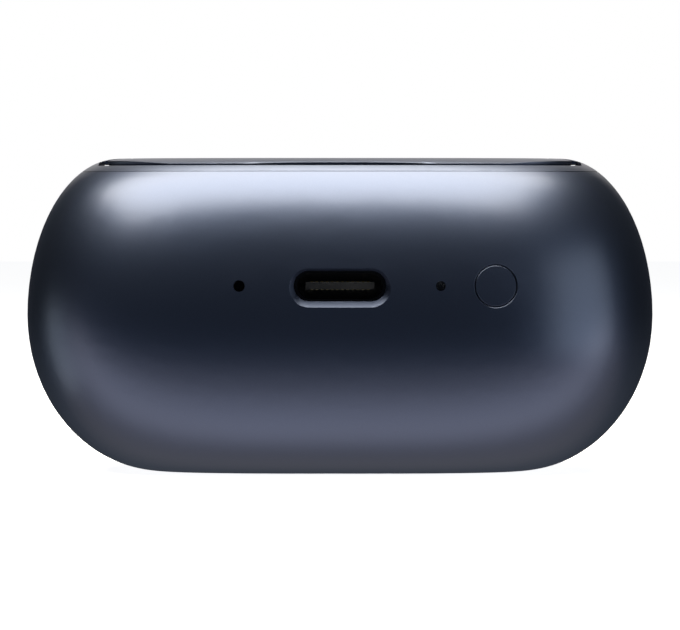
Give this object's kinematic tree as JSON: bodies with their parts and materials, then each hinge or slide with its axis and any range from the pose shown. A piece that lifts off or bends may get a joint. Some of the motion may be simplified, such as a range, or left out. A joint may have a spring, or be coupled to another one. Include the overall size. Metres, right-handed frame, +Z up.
{
  "type": "wireless earbuds charging case",
  "caption": "Pebble-shaped charging case for wireless earbuds, with a hinged top lid, earbud wells, a charging socket and a flush pairing button.",
  "frame": {"origin": "centre of the flat underside, at the bottom centre of the bounding box", "axes": "+Z up, -Y out of the face with the charging socket, +X towards the pairing button"},
  "size_m": [0.063, 0.048, 0.0314],
  "materials": {
    "shell_paint": "dyed and bead-blasted",
    "trim_paint": "dyed and bead-blasted",
    "lid_paint": "dyed and bead-blasted",
    "cradle_plastic": "fine matte",
    "black_plastic": "matte",
    "steel": "brushed",
    "dark_steel": "black oxide",
    "magnet": "nickel plated",
    "bumper_rubber": "matte",
    "contact_gold": "gold plated",
    "board_green": "solder mask",
    "flex_amber": "polyimide",
    "clear": "clear",
    "lamp_white": "gloss",
    "pouch": "foil",
    "foam": "foam",
    "copper": "enamelled wire",
    "ferrite": "matte"
  },
  "bodies": {
    "case": {"outer_shell": "shell_paint", "top_bezel": "trim_paint", "hinge_cover": "trim_paint", "cradle": "cradle_plastic", "hinge_bracket": "steel", "hinge_pin": "steel", "hinge_screws": "steel", "cradle_screws": "steel", "board_screws": "steel", "usb_receptacle_shell": "dark_steel", "usb_tongue": "black_plastic", "usb_contacts": "contact_gold", "main_board": "board_green", "board_chips": "black_plastic", "microphone": "steel", "microphone_boot": "bumper_rubber", "microphone_mesh": "dark_steel", "light_pipe": "clear", "status_led": "lamp_white", "tactile_switch": "black_plastic", "contact_board": "flex_amber", "contact_barrels": "contact_gold", "earbud_magnets": "magnet", "cradle_magnets": "magnet", "hall_sensor": "black_plastic", "sensor_flex": "flex_amber", "board_flex": "flex_amber", "battery_cell": "pouch", "battery_foam": "foam", "battery_lead": "flex_amber", "charging_coil": "copper", "ferrite_sheet": "ferrite"},
    "lid": {"lid_cover": "lid_paint", "lid_liner": "cradle_plastic", "lid_magnets": "magnet", "sensor_magnet": "magnet", "lid_bumpers": "bumper_rubber"},
    "button": {"pairing_button": "shell_paint", "switch_plunger": "lamp_white"},
    "plunger_left_outer": {"contact_left_outer": "contact_gold"},
    "plunger_left_inner": {"contact_left_inner": "contact_gold"},
    "plunger_right_inner": {"contact_right_inner": "contact_gold"},
    "plunger_right_outer": {"contact_right_outer": "contact_gold"}
  },
  "joints": [
    {"name": "lid_hinge", "type": "hinge", "parent": "case", "child": "lid", "pos_m": [0, -0.0083, 0.03007], "axis": [1, 0, 0], "range_deg": [0, 95]},
    {"name": "button_press", "type": "slide", "parent": "case", "child": "button", "axis": [0, 1, 0], "range_m": [0, 0.00035], "stiffness_N_per_m": 6000, "springref_m": -0.0001},
    {"name": "press_left_outer", "type": "slide", "parent": "case", "child": "plunger_left_outer", "axis": [0, 0, -1], "range_m": [0, 0.0005], "stiffness_N_per_m": 600, "springref_m": -0.0002},
    {"name": "press_left_inner", "type": "slide", "parent": "case", "child": "plunger_left_inner", "axis": [0, 0, -1], "range_m": [0, 0.0005], "stiffness_N_per_m": 600, "springref_m": -0.0002},
    {"name": "press_right_inner", "type": "slide", "parent": "case", "child": "plunger_right_inner", "axis": [0, 0, -1], "range_m": [0, 0.0005], "stiffness_N_per_m": 600, "springref_m": -0.0002},
    {"name": "press_right_outer", "type": "slide", "parent": "case", "child": "plunger_right_outer", "axis": [0, 0, -1], "range_m": [0, 0.0005], "stiffness_N_per_m": 600, "springref_m": -0.0002}
  ]
}
